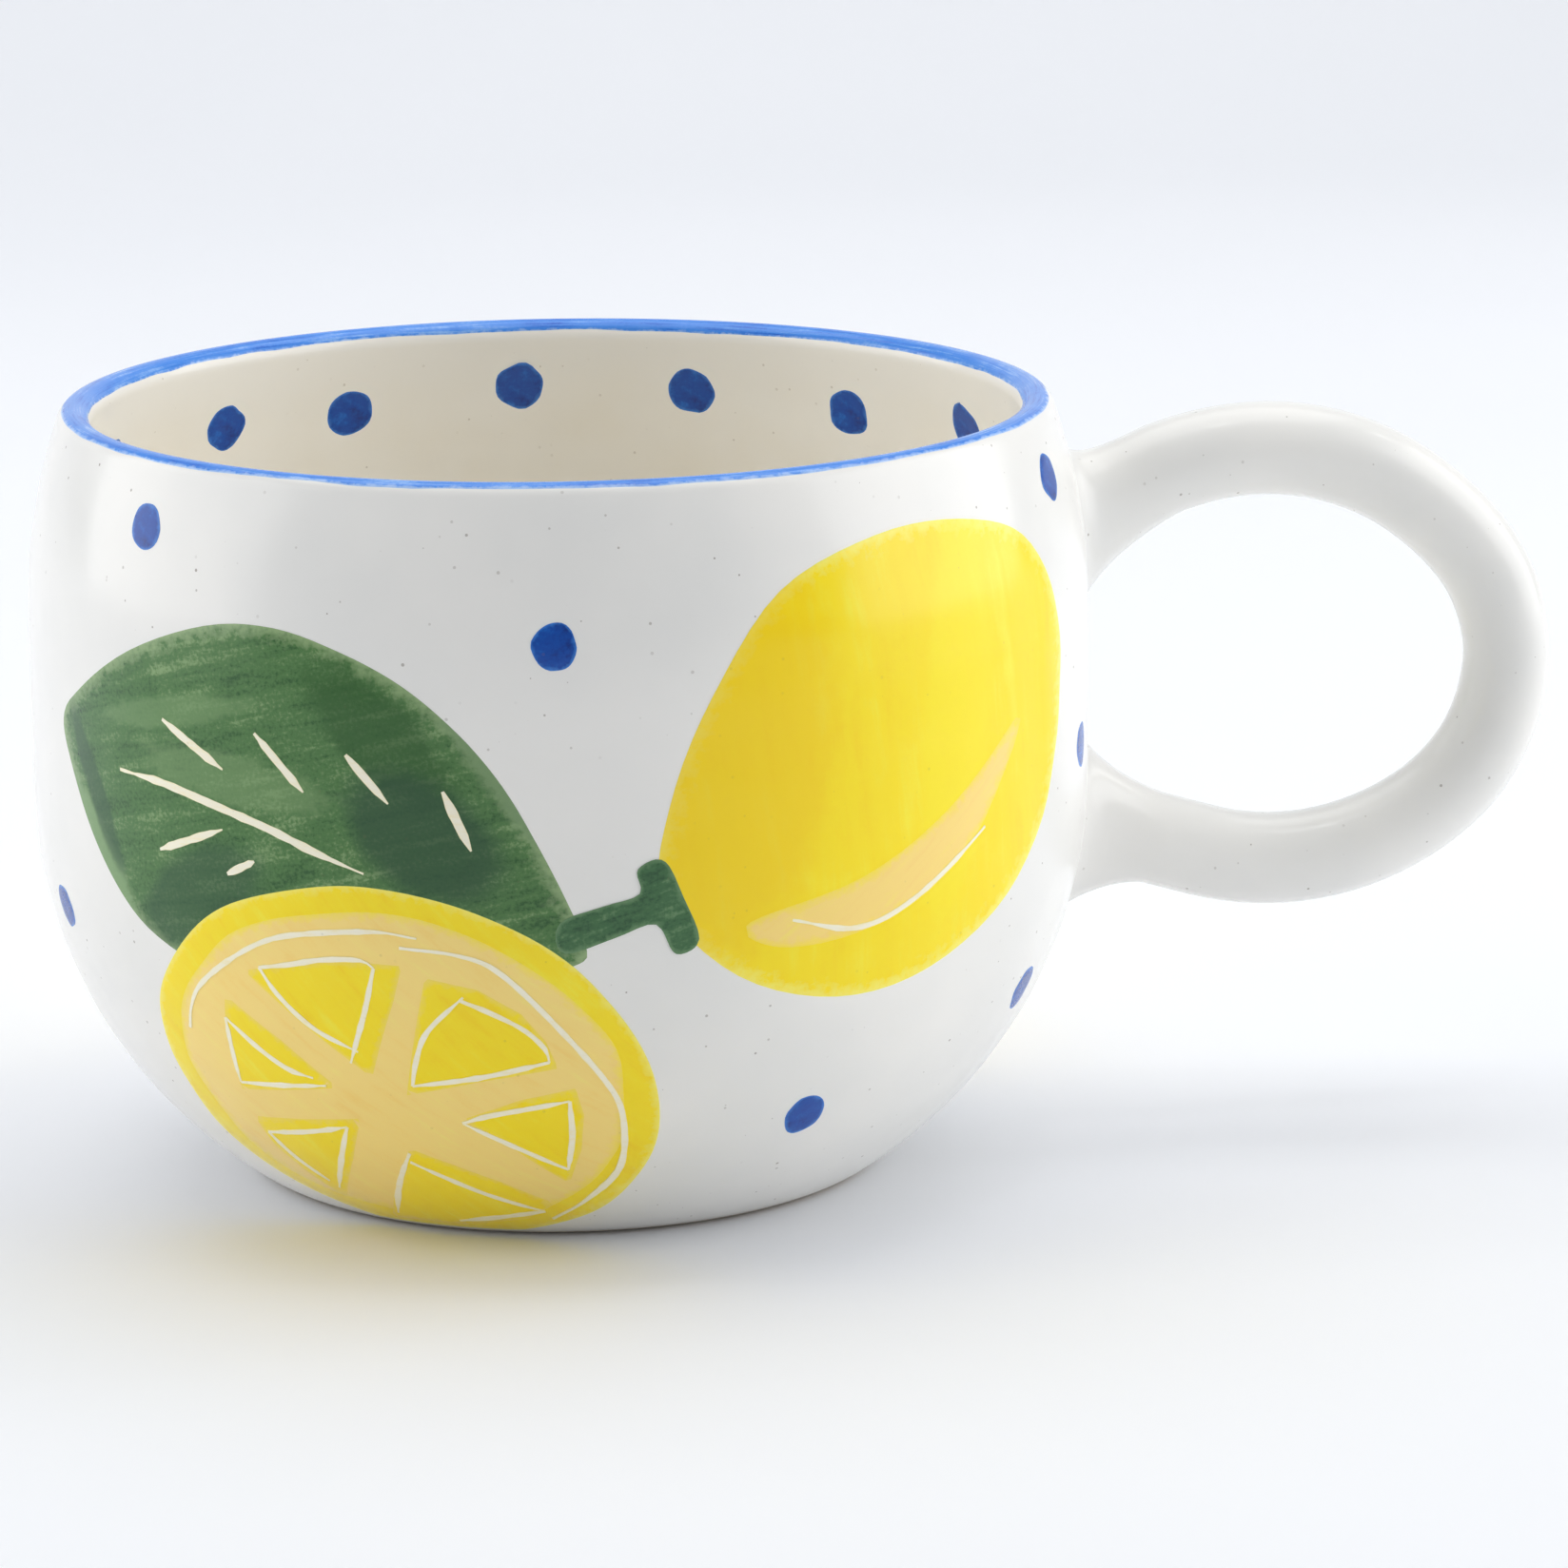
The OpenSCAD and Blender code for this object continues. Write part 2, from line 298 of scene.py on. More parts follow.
def makeBrushwork():
    # Underglaze colour laid on with a wet brush: long streaks, pools, grain and a thin edge
    group, add, given, out = startGroup(
        "brushwork",
        [("Plan", "Vector", None), ("Inset", "Float", 5.0), ("Light", "Color", None),
         ("Middle", "Color", None), ("Dark", "Color", None), ("Thin", "Color", None),
         ("Turn", "Float", 0.0), ("Length", "Float", 14.0), ("Width", "Float", 1.2),
         ("Contrast", "Float", 1.6), ("Grain", "Float", 0.2), ("Edge", "Float", 0.8)],
        [("Colour", "Color")])
    plan = given["Plan"]
    turned = turnNode(add, plan, given["Turn"])
    stretch = add("CombineXYZ", {0: given["Length"], 1: given["Width"], 2: 1.0}).outputs[0]
    along = add("VectorMath", {0: turned, 1: stretch}, operation="DIVIDE").outputs[0]
    streaks = grainNode(add, along, 1.0, 5.0, 0.62, 0.25)
    pools = grainNode(add, plan, 0.12, 2.0, 0.5, 0.8)
    load = mathNode(add, "ADD", mathNode(add, "MULTIPLY", streaks, 0.62),
                    mathNode(add, "MULTIPLY", pools, 0.38))
    load = mathNode(add, "SUBTRACT", load, 0.5)
    load = mathNode(add, "MULTIPLY_ADD", load, given["Contrast"])
    load.node.inputs[2].default_value = 0.5
    fine = grainNode(add, plan, 2.6, 2.0, 0.6)
    fine = mathNode(add, "MULTIPLY", mathNode(add, "SUBTRACT", fine, 0.5), given["Grain"])
    load = mathNode(add, "ADD", load, fine, clamp=True)
    body = mixColour(add, ramp(add, load, 0.1, 0.5), given["Light"], given["Middle"])
    body = mixColour(add, ramp(add, load, 0.5, 0.9), body, given["Dark"])
    ragged = grainNode(add, plan, 0.9, 3.0, 0.6)
    reach = mathNode(add, "MULTIPLY", given["Edge"], ramp(add, ragged, 0.3, 0.7, 0.35, 1.5))
    edge = add("MapRange", {"Value": given["Inset"], "From Min": 0.0, "From Max": reach,
                            "To Min": 1.0, "To Max": 0.0}).outputs[0]
    worn = ramp(add, grainNode(add, plan, 1.7, 2.0), 0.25, 0.6, 0.6, 1.0)
    edge = mathNode(add, "MULTIPLY", edge, worn)
    group.links.new(mixColour(add, edge, body, given["Thin"]), out.inputs["Colour"])
    return group


def makeWash():
    # A soft-edged patch of another colour over part of a motif
    group, add, given, out = startGroup(
        "wash",
        [("Plan", "Vector", None), ("Under", "Color", None), ("Over", "Color", None),
         ("Middle", "Vector", None), ("Size", "Vector", (10.0, 10.0, 1.0)), ("Turn", "Float", 0.0),
         ("Strength", "Float", 0.6), ("Rag", "Float", 0.5)],
        [("Colour", "Color")])
    plan = given["Plan"]
    away = add("VectorMath", {0: plan, 1: given["Middle"]}, operation="SUBTRACT").outputs[0]
    away = turnNode(add, away, given["Turn"])
    away = add("VectorMath", {0: away, 1: given["Size"]}, operation="DIVIDE").outputs[0]
    far = add("VectorMath", {0: away}, operation="LENGTH").outputs["Value"]
    ragged = mathNode(add, "SUBTRACT", grainNode(add, plan, 0.35, 4.0, 0.65, 0.4), 0.5)
    far = mathNode(add, "ADD", far, mathNode(add, "MULTIPLY", ragged, given["Rag"]))
    mask = mathNode(add, "MULTIPLY", ramp(add, far, 0.7, 1.15, 1.0, 0.0), given["Strength"])
    group.links.new(mixColour(add, mask, given["Under"], given["Over"]), out.inputs["Colour"])
    return group


glazeSkin = makeGlazeSkin()
brushwork = makeBrushwork()
wash = makeWash()
print("shared effects made")


# The clear glaze on everything, and in metres where the bare clay of the foot fades out
gloss = {"IOR": 1.5, "Specular IOR Level": 0.36, "Coat Weight": 0.12, "Coat Roughness": 0.07,
         "Coat IOR": 1.5}
skinLook = {"waves": 0.05, "insideWaves": 0.06, "peel": 0.0012}
bareFoot = {"height": (0.0002, 0.0006), "hollow": (0.0252, 0.0256)}


def startMaterial(name):
    material = bpy.data.materials.new(name)
    material.use_nodes = True
    tree = material.node_tree
    add = nodeAdder(tree)
    shader = tree.nodes["Principled BSDF"]
    for key, value in gloss.items():
        shader.inputs[key].default_value = value
    return material, tree, add, shader


def placeGroup(add, group, inputs):
    return add("Group", inputs, node_tree=group).outputs


def addSkin(tree, add, shader, speckle, waves=skinLook["waves"]):
    place = add("TexCoord").outputs["Object"]
    skin = placeGroup(add, glazeSkin, {"Place": place, "Waves": waves, "Peel": skinLook["peel"],
                                       "Speckle": speckle})
    bump = add("Bump", {"Height": skin["Height"], "Distance": mm, "Strength": 1.0})
    tree.links.new(skin["Roughness"], shader.inputs["Roughness"])
    tree.links.new(bump.outputs[0], shader.inputs["Normal"])
    return place, skin


def makeWhiteGlaze():
    material, tree, add, shader = startMaterial("whiteGlaze")
    place, skin = addSkin(tree, add, shader, 0.7)
    colour = mixColour(add, skin["Cloud"], shade(243, 241, 236), shade(236, 235, 231))
    colour = mixColour(add, skin["Specks"], colour, shade(120, 105, 90))
    # The ring it stands on is bare clay
    height = add("SeparateXYZ", {0: place}).outputs[2]
    bare = ramp(add, height, *bareFoot["height"], 1.0, 0.0)
    grain = grainNode(add, place, 900.0, 4.0)
    clay = mixColour(add, grain, shade(214, 200, 178), shade(186, 168, 142))
    out = add("VectorMath", {0: place}, operation="LENGTH").outputs["Value"]
    hollow = ramp(add, out, *bareFoot["hollow"])
    bare = mathNode(add, "MULTIPLY", bare, hollow)
    tree.links.new(mixColour(add, bare, colour, clay), shader.inputs["Base Color"])
    rough = mathNode(add, "MAXIMUM", skin["Roughness"], mathNode(add, "MULTIPLY", bare, 0.75))
    tree.links.new(rough, shader.inputs["Roughness"])
    shine = mathNode(add, "MULTIPLY", bare, gloss["Coat Weight"])
    shine = mathNode(add, "SUBTRACT", gloss["Coat Weight"], shine)
    tree.links.new(shine, shader.inputs["Coat Weight"])
    return material


def makeCreamGlaze():
    material, tree, add, shader = startMaterial("creamGlaze")
    place, skin = addSkin(tree, add, shader, 0.35, skinLook["insideWaves"])
    colour = mixColour(add, skin["Cloud"], shade(250, 247, 239), shade(246, 240, 226))
    height = add("SeparateXYZ", {0: place}).outputs[2]
    colour = mixColour(add, ramp(add, height, 0.066, 0.0755), colour, shade(244, 241, 233))
    colour = mixColour(add, skin["Specks"], colour, shade(140, 120, 96))
    tree.links.new(colour, shader.inputs["Base Color"])
    return material


def planCoordinates(add):
    plan = add("UVMap", uv_map="plan").outputs[0]
    plan = add("VectorMath", {0: plan, 3: planUnit}, operation="SCALE").outputs[0]
    inset = add("Attribute", attribute_name="inset", attribute_type="GEOMETRY").outputs["Fac"]
    return plan, inset


def patch(colour, middle, size, turn, strength, rag):
    # One wash, with its place and size in the plan
    return {"Over": shade(*colour), "Middle": (*middle, 0.0), "Size": (*size, 1.0), "Turn": turn,
            "Strength": strength, "Rag": rag}


def makePaint(name, look, washes=(), speckle=0.15):
    # look holds the brushwork's colours and strokes; each wash is laid over it in turn
    material, tree, add, shader = startMaterial(name)
    place, skin = addSkin(tree, add, shader, speckle)
    plan, inset = planCoordinates(add)
    given = {"Plan": plan, "Inset": inset}
    for key, value in look.items():
        given[key] = shade(*value) if isinstance(value, tuple) else value
    colour = placeGroup(add, brushwork, given)["Colour"]
    for layer in washes:
        over = {"Plan": plan, "Under": colour}
        over.update(layer)
        colour = placeGroup(add, wash, over)["Colour"]
    colour = mixColour(add, skin["Specks"], colour, shade(110, 96, 70))
    tree.links.new(colour, shader.inputs["Base Color"])
    return material


# Lathe work: the section is drawn by extruding a point, then spun round the axis

def spinProfile(name, profile, closed=False):
    clearSelection()
    bpy.ops.mesh.primitive_plane_add(size=mm, location=(0, 0, 0))
    piece = bpy.context.object
    piece.name = name
    setMode("EDIT")
    bpy.ops.mesh.merge(type="CENTER")
    bpy.ops.transform.translate(value=(profile[0][0] * mm, 0, profile[0][1] * mm))
    points = list(profile) + ([profile[0]] if closed else [])
    for before, after in zip(points, points[1:]):
        move = ((after[0] - before[0]) * mm, 0, (after[1] - before[1]) * mm)
        bpy.ops.mesh.extrude_region_move(TRANSFORM_OT_translate={"value": move})
    selectAll()
    bpy.ops.mesh.spin(steps=cup["spinSteps"], angle=2 * math.pi, center=(0, 0, 0), axis=(0, 0, 1))
    selectAll()
    bpy.ops.mesh.remove_doubles(threshold=mergeGap)
    bpy.ops.mesh.normals_make_consistent(inside=False)
    setMode("OBJECT")
    return piece


def finishPiece(piece, material, slotName, *nodes):
    throwClay(piece)
    makeActive(piece)
    bpy.ops.object.shade_smooth_by_angle(angle=smoothAngle)
    piece.data.materials.clear()
    piece.data.materials.append(material)
    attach(piece, "root")
    if nodes:
        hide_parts(*nodes)
    print("made", piece.name, len(piece.data.polygons), "faces")


def makeCupShell():
    foot, rounding = cup["footRadius"], cup["footRound"]
    rise = wallAt(rounding, 0)
    corner = [((1 - t) ** 2 * (foot - rounding) + 2 * t * (1 - t) * foot + t * t * rise[0],
               t * t * rise[1]) for t in np.linspace(0, 1, 7)]
    hollow, depth = cup["hollowRadius"], cup["hollowDepth"]
    section = [(0, depth), (8, depth), (16, depth), (hollow - 1.5, depth),
               (hollow - 0.6, depth * 0.8), (hollow - 0.1, depth * 0.3), (hollow + 0.4, 0.0),
               (hollow + 3, 0.0)]
    section += corner
    low = -math.degrees(math.asin((bowlZ - rounding) / cup["bowlRadius"]))
    section += arcPoints((bowlX, bowlZ), cup["bowlRadius"], low, 0, 30)[1:]
    section += [(cup["bellyRadius"], z) for z in np.linspace(bowlZ, cup["shoulderZ"], 8)[1:]]
    shoulder = (shoulderX, cup["shoulderZ"])
    section += arcPoints(shoulder, cup["shoulderRadius"], 0, lipTurn, 10)[1:]
    section += arcPoints((lipX, lipZ), lipRadius, lipTurn, 180 + lipTurn, 18)[1:]
    inner = cup["wall"]
    section += arcPoints(shoulder, cup["shoulderRadius"] - inner, lipTurn, 0, 8)[1:]
    section += [(cup["bellyRadius"] - inner, z) for z in (48, bowlZ)]
    bottom = -math.degrees(math.asin((bowlZ - cup["floor"]) / (cup["bowlRadius"] - inner)))
    section += arcPoints((bowlX, bowlZ), cup["bowlRadius"] - inner, 0, bottom, 12)[1:]
    section += [(12, cup["floor"]), (0, cup["floor"])]
    return spinProfile("cup_shell", section)


def liningSection():
    # From the middle of the floor up the wall to the lip, the glaze's own face
    deep = cup["wall"] + cup["lining"]
    reach, corner = cup["bowlRadius"] - deep, cup["floorCorner"]
    floor = cup["floor"] + cup["lining"]
    middleZ = floor + corner
    middleX = bowlX + math.sqrt((reach - corner) ** 2 - (bowlZ - middleZ) ** 2)
    turn = math.degrees(math.atan2(middleZ - bowlZ, middleX - bowlX))
    face = [(0, floor), (middleX * 0.45, floor + 0.05)]
    face += arcPoints((middleX, middleZ), corner, -90, turn, 12)
    face += arcPoints((bowlX, bowlZ), reach, turn, 0, 22)[1:]
    face += [(cup["bellyRadius"] - deep, z) for z in np.linspace(bowlZ, cup["shoulderZ"], 6)[1:]]
    shoulder = (shoulderX, cup["shoulderZ"])
    face += arcPoints(shoulder, cup["shoulderRadius"] - deep, 0, lipTurn - 3, 10)[1:]
    face += arcPoints((lipX, lipZ), lipRadius + 0.04, 178 + lipTurn, 150, 6)
    return face


def makeLining():
    face = liningSection()
    thick = cup["liningThick"]
    back = []
    for r, z in reversed(face[1:]):
        fromLip = (r - lipX, z - lipZ)
        if math.hypot(*fromLip) < lipRadius + thick:
            back.append((lipX + fromLip[0] * 0.6, lipZ + fromLip[1] * 0.6))
        else:
            centre = (bowlX, bowlZ) if z < bowlZ else (shoulderX, cup["shoulderZ"])
            if bowlZ <= z <= cup["shoulderZ"]:
                back.append((r + thick, z))
            else:
                away = Vector((r - centre[0], z - centre[1])).normalized() * thick
                back.append((r + away.x, z + away.y) if r > 8 else (r, z - thick))
    back.append((0, face[0][1] - thick))
    return spinProfile("inside_lining", face + back)


whiteGlaze = makeWhiteGlaze()
finishPiece(makeCupShell(), whiteGlaze, "white_stoneware", "cup_body")
finishPiece(makeLining(), makeCreamGlaze(), "cream_glaze", "inside_glaze")

# The band of colour brushed over the lip, as angles round the lip's own section
band = {"outer": 50, "inner": 158, "stray": 9, "lift": 0.05, "steps": 22, "depth": 0.25,
        "slope": 0.25, "thinEdge": 0.008}


def makeRimBand():
    front = arcPoints((lipX, lipZ), lipRadius + band["lift"], 0, 180, band["steps"])
    back = arcPoints((lipX, lipZ), lipRadius - band["depth"], 180, 0, 8)
    piece = spinProfile("lip_band", front + back, closed=True)
    co = places(piece)
    turn = np.arctan2(co[:, 1], co[:, 0])
    r, z = np.hypot(co[:, 0], co[:, 1]) / mm - lipX, co[:, 2] / mm - lipZ
    lean, reach = np.degrees(np.arctan2(z, r)), np.hypot(r, z)
    share = np.clip(np.where(lean < -90, lean + 360, lean) / 180, 0, 1)
    inset = np.empty(len(co))
    for i, t in enumerate(turn):
        around = Vector((math.cos(t), math.sin(t), 0))
        stray = [noise.noise(around * 3.1 + Vector((0, 0, k * 7.3))) * band["stray"]
                 + noise.noise(around * 11 + Vector((0, 0, k * 3.9))) * band["stray"] * 0.5
                 for k in (0, 1)]
        low, high = band["outer"] + stray[0], band["inner"] + stray[1]
        lean[i] = low + (high - low) * share[i]
        inset[i] = min(share[i], 1 - share[i]) * math.radians(high - low) * lipRadius
    lift = band["thinEdge"] + band["lift"] * np.clip(inset / band["slope"], 0, 1)
    reach = np.where(reach > lipRadius, lipRadius + lift, reach)
    r, z = lipX + reach * np.cos(np.radians(lean)), lipZ + reach * np.sin(np.radians(lean))
    setPlaces(piece, np.column_stack([r * np.cos(turn), r * np.sin(turn), z]) * mm)
    addPlan(piece, np.column_stack([np.degrees(turn) * 0.83, lean * 0.03]), inset)
    return piece


def addPlan(piece, plan, inset):
    # Lays the plan's millimetres in a UV map, and the distance inside the edge in an attribute
    mesh = piece.data
    while mesh.uv_layers:
        mesh.uv_layers.remove(mesh.uv_layers[0])
    layer = mesh.uv_layers.new(name="plan")
    corners = np.empty(len(mesh.loops), int)
    mesh.loops.foreach_get("vertex_index", corners)
    layer.data.foreach_set("uv", (plan[corners] / planUnit).ravel())
    values = mesh.attributes.new("inset", "FLOAT", "POINT")
    values.data.foreach_set("value", np.asarray(inset, float))


bluePaint = makePaint("bluePaint", {
    "Light": (16, 106, 198), "Middle": (0, 72, 164), "Dark": (0, 44, 120),
    "Thin": (60, 130, 212), "Length": 2.2, "Width": 1.4, "Contrast": 1.7, "Grain": 0.5,
    "Edge": 0.35}, speckle=0.2)
bandPaint = makePaint("bandPaint", {
    "Light": (150, 194, 248), "Middle": (70, 140, 232), "Dark": (24, 92, 200),
    "Thin": (190, 216, 250), "Length": 9.0, "Width": 0.3, "Contrast": 1.9, "Grain": 0.25,
    "Edge": 0.35}, speckle=0.1)
finishPiece(makeRimBand(), bandPaint, "blue_paint", "rim_band")

# The ring handle: its bar runs through three arcs and flares into the wall at both ends
handle = {
    "reach": 20.0, "middleZ": 47.5, "halfLength": 25.2, "halfHeight": 21.2, "endRadius": 18.6,
    "lean": 11, "topSlope": 22, "lowSlope": 17, "barRadius": 4.4, "swell": 0.3, "around": 48,
    "stray": 0.14, "calm": 6, "ringGap": 1.8, "flareSteps": 13, "sinkAlong": 1.1, "sinkIn": 0.3,
    "seed": 4,
    "top": {"ahead": 7.6, "behind": 11.0, "aside": 7.8, "start": 10.5, "pull": 10, "spread": 11},
    "low": {"ahead": 12.0, "behind": 10.6, "aside": 7.4, "start": 9.5, "pull": 8, "spread": 12},
}


def barLine():
    # The bar's middle and outward direction in the upright plane, from top root to low root
    length, height, end = handle["halfLength"], handle["halfHeight"], handle["endRadius"]
    endX = length - end
    side = (endX ** 2 + height ** 2 - end ** 2) / (2 * (height - end))
    sideZ = side - height
    meet = math.degrees(math.atan2(sideZ, endX))
    topTurn = 90 + handle["topSlope"] + handle["lean"]
    lowTurn = -90 - handle["lowSlope"] + handle["lean"]
    arcs = [((0, -sideZ), side, topTurn, meet, 22), ((endX, 0), end, meet, -meet, 22),
            ((0, sideZ), side, -meet, lowTurn, 16)]
    line = []
    tip = math.radians(handle["lean"])
    for centre, radius, start, stop, steps in arcs:
        for turn in np.radians(np.linspace(start, stop, steps + 1))[1 if line else 0:]:
            out = (math.cos(turn), math.sin(turn))
            x, z = centre[0] + radius * out[0], centre[1] + radius * out[1]
            middleX = cup["bellyRadius"] + handle["reach"]
            place = Vector((middleX + x * math.cos(tip) + z * math.sin(tip), 0,
                            handle["middleZ"] - x * math.sin(tip) + z * math.cos(tip)))
            outward = Vector((out[0] * math.cos(tip) + out[1] * math.sin(tip), 0,
                              -out[0] * math.sin(tip) + out[1] * math.cos(tip)))
            line.append((place, outward))
    return line


def barRing(place, outward, radius):
    ring = []
    for k in range(handle["around"]):
        turn = 2 * math.pi * k / handle["around"]
        ring.append(place + (outward * math.cos(turn) + Vector((0, math.sin(turn), 0))) * radius)
    return ring


def flareRings(end, place, outward, along, up):
    # From the bar's last ring to the wall, each point along its own smooth curve
    root = place.copy()
    while root.x > wallAt(root.z, 0)[0]:
        root += along * 0.1
    start = root - along * end["start"]
    rings = []
    tube = barRing(start, outward, handle["barRadius"] + handle["swell"])
    feet, spreads = [], []
    for k in range(handle["around"]):
        turn = 2 * math.pi * k / handle["around"]
        drop = math.cos(turn) * (end["ahead"] if math.cos(turn) > 0 else end["behind"])
        z, y = root.z + up * drop, math.sin(turn) * end["aside"]
        r = wallAt(z, 0)[0]
        foot = Vector((math.sqrt(r * r - y * y), y, wallAt(z, 0)[1]))
        step = wallAt(z + 0.5, 0)
        rise = Vector((step[0] - r, 0, 0.5)).normalized()
        sideways = Vector((-foot.y, foot.x, 0)).normalized()
        away = foot - Vector((wallAt(root.z, 0)[0], 0, root.z))
        spread = (rise * away.dot(rise) + sideways * away.dot(sideways)).normalized()
        feet.append(foot)
        spreads.append(spread)
    for t in np.linspace(0, 1, handle["flareSteps"]):
        h = (2 * t ** 3 - 3 * t ** 2 + 1, t ** 3 - 2 * t ** 2 + t,
             -2 * t ** 3 + 3 * t ** 2, t ** 3 - t ** 2)
        rings.append([tube[k] * h[0] + along * end["pull"] * h[1] + feet[k] * h[2]
                      + spreads[k] * end["spread"] * h[3] for k in range(handle["around"])])
    sunk = []
    for foot, spread in zip(feet, spreads):
        inward = Vector((foot.x, foot.y, 0)).normalized()
        sunk.append(foot + spread * handle["sinkAlong"] - inward * handle["sinkIn"])
    rings.append(sunk)
    return rings, start


def makeHandle():
    line = barLine()
    topPlace, topOut = line[0]
    lowPlace, lowOut = line[-1]
    topAlong = Vector((-topOut.z, 0, topOut.x))
    lowAlong = Vector((lowOut.z, 0, -lowOut.x))
    top, topStart = flareRings(handle["top"], topPlace, topOut, topAlong, 1)
    low, lowStart = flareRings(handle["low"], lowPlace, lowOut, lowAlong, -1)
    middle = []
    for i, (place, outward) in enumerate(line):
        share = abs(i / (len(line) - 1) - 0.5) * 2
        swell = handle["swell"] * min(1, share * 1.6)
        start, along = (topStart, topAlong) if i < len(line) / 2 else (lowStart, lowAlong)
        if (place - start).dot(along) < -0.6:
            middle.append(barRing(place, outward, handle["barRadius"] + swell))
    gap = lowStart - lowPlace
    for t in np.arange(1, int(gap.length / handle["ringGap"]) + 1) * handle["ringGap"]:
        if t < gap.length - 0.8:
            middle.append(barRing(lowPlace + gap.normalized() * t, lowOut,
                                  handle["barRadius"] + handle["swell"]))
    rings = list(reversed(top)) + middle + low
    piece = ringTube("ring_handle", rings)
    # noise_vector is shifted at random until it is given a seed
    noise.seed_set(handle["seed"])
    co = places(piece)
    for i, place in enumerate(co):
        point = Vector(place) / mm
        clear = min(1, max(0, (point.x - cup["bellyRadius"] - handle["calm"]) / handle["calm"]))
        stray = noise.noise(point * 0.06) * handle["stray"] * clear
        drift = np.array(noise.noise_vector(point * 0.045)) * handle["stray"] * clear
        co[i] += drift * mm + stray * mm * 0.5
    setPlaces(piece, co)
    return piece


def ringTube(name, rings):
    # A grid rolled through the rings and closed along its seam and at both ends
    count, around = len(rings) - 1, len(rings[0])
    piece = startGrid(name, count, around)
    co = places(piece)
    u = np.rint((co[:, 0] + 0.5) * count).astype(int)
    v = np.rint((co[:, 1] + 0.5) * around).astype(int) % around
    setPlaces(piece, [rings[a][b] * mm for a, b in zip(u, v)])
    setMode("EDIT")
    selectAll()
    bpy.ops.mesh.remove_doubles(threshold=mergeGap)
    bpy.ops.mesh.fill_holes(sides=0)
    selectAll()
    bpy.ops.mesh.normals_make_consistent(inside=False)
    setMode("OBJECT")
    return piece


finishPiece(makeHandle(), whiteGlaze, "white_stoneware", "handle", "upper_luting_slip",
            "lower_luting_slip")


# Paint: a grid cut to the outline and laid round the cup

def insideOutline(points, outline):
    x, y = points[:, 0][:, None], points[:, 1][:, None]
    a, b = outline, np.roll(outline, -1, axis=0)
    crosses = (a[:, 1] > y) != (b[:, 1] > y)
    with np.errstate(divide="ignore", invalid="ignore"):
        at = (b[:, 0] - a[:, 0]) * (y - a[:, 1]) / (b[:, 1] - a[:, 1]) + a[:, 0]
    return (np.sum(crosses & (x < at), axis=1) % 2) == 1


def nearestOnOutline(points, outline):
    a, b = outline, np.roll(outline, -1, axis=0)
    edge = b - a
    share = np.einsum("pij,ij->pi", points[:, None, :] - a[None], edge) / (edge ** 2).sum(1)
    at = a[None] + np.clip(share, 0, 1)[..., None] * edge[None]
    far = np.linalg.norm(points[:, None, :] - at, axis=2)
    best = far.argmin(1)
    rows = np.arange(len(points))
    return at[rows, best], far[rows, best]


def wrapPlan(piece, plan, inset, middle, lift, inside=False):
    # Takes plan millimetres round the wall; inside the cup the plan is seen from the axis
    turn0 = math.radians(middle)
    grown = lift - pattern["layer"] * (1 - np.clip(inset / pattern["edgeSlope"], 0, 1))
    spots = []
    for (x, y), rise in zip(plan, grown):
        if inside:
            offset = -(cup["wall"] + cup["lining"]) - rise
            turn = turn0 - math.asin(x / wallAt(y, offset)[0])
        else:
            offset = rise
            turn = turn0 + math.asin(x / wallAt(y, 0)[0])
        spots.append(onWall(turn, y, offset))
    setPlaces(piece, spots)


def thicken(piece):
    makeActive(piece)
    shell = piece.modifiers.new("paint thickness", "SOLIDIFY")
    shell.thickness = pattern["thickness"] * mm
    shell.offset = -1
    bpy.ops.object.modifier_apply(modifier=shell.name)


def paintPatch(name, outline, middle, lift, cell=0.6, inside=False):
    low, high = outline.min(0) - cell, outline.max(0) + cell
    spans = np.ceil((high - low) / cell).astype(int)
    piece = startGrid(name, int(spans[0]), int(spans[1]))
    setMode("EDIT")
    bpy.ops.transform.resize(value=(spans[0] * cell, spans[1] * cell, 1))
    middleX, middleY = low + spans * cell / 2
    bpy.ops.transform.translate(value=(middleX, middleY, 0))
    bpy.ops.mesh.select_all(action="DESELECT")
    setMode("OBJECT")
    plan = places(piece)[:, :2]
    spare = ~insideOutline(plan, outline) & (nearestOnOutline(plan, outline)[1] > cell * 0.3)
    piece.data.vertices.foreach_set("select", spare)
    setMode("EDIT")
    bpy.ops.mesh.delete(type="VERT")
    selectAll()
    bpy.ops.mesh.delete_loose(use_verts=True, use_edges=True, use_faces=False)
    setMode("OBJECT")
    shape = bmesh.new()
    shape.from_mesh(piece.data)
    rim = np.array([v.is_boundary for v in shape.verts])
    shape.free()
    plan = places(piece)[:, :2]
    near, far = nearestOnOutline(plan, outline)
    plan[rim] = near[rim]
    inset = np.where(rim, 0, far)
    addPlan(piece, plan, inset)
    wrapPlan(piece, plan, inset, middle, lift, inside)
    thicken(piece)
    return piece


